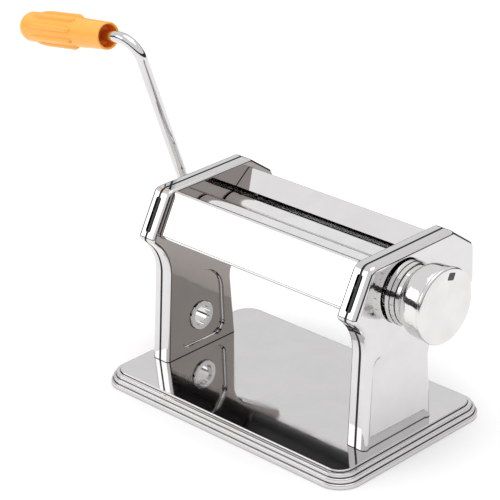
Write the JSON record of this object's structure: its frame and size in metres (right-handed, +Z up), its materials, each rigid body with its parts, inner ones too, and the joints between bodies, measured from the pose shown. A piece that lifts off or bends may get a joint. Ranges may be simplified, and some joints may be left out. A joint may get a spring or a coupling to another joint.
{
  "type": "pasta roller machine",
  "caption": "Hand-cranked pasta roller with chromed sides and covers on a stepped base tray, a thickness knob and an orange-gripped crank.",
  "frame": {"origin": "centre of the base tray, on the surface the machine stands on", "axes": "+X along the rollers towards the thickness knob, -Y towards the front where the low cover is, +Z up"},
  "size_m": [0.3631, 0.1365, 0.2222],
  "materials": {
    "shell_chrome": "mirror polished pressed sheet",
    "tray_chrome": "mirror polished pressed sheet",
    "cover_chrome": "mirror polished folded sheet",
    "dark_plate": "black, seen only as the line between the two shells of each side",
    "roller_steel": "ground and polished around the axis",
    "machined_steel": "turned, satin",
    "rod_steel": "drawn bar, satin",
    "zinc_fasteners": "zinc plated, satin",
    "bronze_bush": "sintered bronze, satin",
    "eyelet_chrome": "polished rolled edge",
    "scraper_nylon": "black, matte",
    "foot_rubber": "matte",
    "knob_metal": "bright satin, pale",
    "mark_black": "dark window of the setting mark",
    "spring_steel": "drawn wire",
    "crank_chrome": "polished bent rod",
    "grip_orange": "orange moulded plastic, semi-gloss"
  },
  "bodies": {
    "frame": {"base_plate": "tray_chrome", "rubber_feet": "foot_rubber", "base_screws": "zinc_fasteners", "left_frame_plate": "dark_plate", "right_frame_plate": "dark_plate", "left_inner_shell": "shell_chrome", "right_inner_shell": "shell_chrome", "left_outer_shell": "shell_chrome", "right_outer_shell": "shell_chrome", "rear_roller_bushes": "bronze_bush", "knob_shaft_bushes": "bronze_bush", "clamp_eyelet": "eyelet_chrome", "index_pin": "machined_steel", "index_pin_eyelet": "eyelet_chrome", "tie_rods": "rod_steel", "scraper_rods": "rod_steel", "rod_nuts": "zinc_fasteners", "front_cover": "cover_chrome", "rear_cover": "cover_chrome", "front_scraper": "scraper_nylon", "rear_scraper": "scraper_nylon"},
    "drive_roller": {"rear_roller": "roller_steel", "rear_roller_gear": "machined_steel"},
    "crank": {"crank_rod": "crank_chrome", "grip_washer": "machined_steel", "grip_screw": "zinc_fasteners"},
    "grip": {"crank_grip": "grip_orange", "grip_end_cap": "grip_orange"},
    "knob_shaft": {"eccentric_shaft": "machined_steel", "knob_washer": "machined_steel", "knob_screw": "zinc_fasteners", "knob_spring": "spring_steel"},
    "knob": {"knob_body": "knob_metal", "knob_dial": "knob_metal", "knob_cap": "knob_metal", "knob_mark": "mark_black"},
    "roller_bushes": {"front_roller_bushes": "bronze_bush"},
    "adjustable_roller": {"front_roller": "roller_steel", "front_roller_gear": "machined_steel"}
  },
  "joints": [
    {"name": "drive_spin", "type": "hinge", "parent": "frame", "child": "drive_roller", "pos_m": [0, 0.0299, 0.09922], "axis": [1, 0, 0], "continuous": true},
    {"name": "crank_pull", "type": "slide", "parent": "drive_roller", "child": "crank", "axis": [-1, 0, 0], "range_m": [0, 0.03]},
    {"name": "grip_spin", "type": "hinge", "parent": "crank", "child": "grip", "pos_m": [-0.14791, -0.00808, 0.21338], "axis": [-0.9859, 0.0529, -0.1591], "continuous": true},
    {"name": "knob_turn", "type": "hinge", "parent": "frame", "child": "knob_shaft", "pos_m": [0, 0.0045, 0.1043], "axis": [1, 0, 0], "range_deg": [-90, 90]},
    {"name": "knob_pull", "type": "slide", "parent": "knob_shaft", "child": "knob", "axis": [1, 0, 0], "range_m": [0, 0.005], "stiffness_N_per_m": 400, "springref_m": -0.006, "deforming": ["knob_spring"]},
    {"name": "bush_turn", "type": "hinge", "parent": "knob_shaft", "child": "roller_bushes", "pos_m": [0, 0.0047, 0.10528], "axis": [1, 0, 0], "range_deg": [-90, 90]},
    {"name": "adjustable_spin", "type": "hinge", "parent": "roller_bushes", "child": "adjustable_roller", "pos_m": [0, 0.0047, 0.10528], "axis": [1, 0, 0], "continuous": true}
  ],
  "couplings": [
    {"joint": "bush_turn", "follows": "knob_turn", "ratio": -1},
    {"joint": "adjustable_spin", "follows": "drive_spin", "ratio": -1}
  ]
}
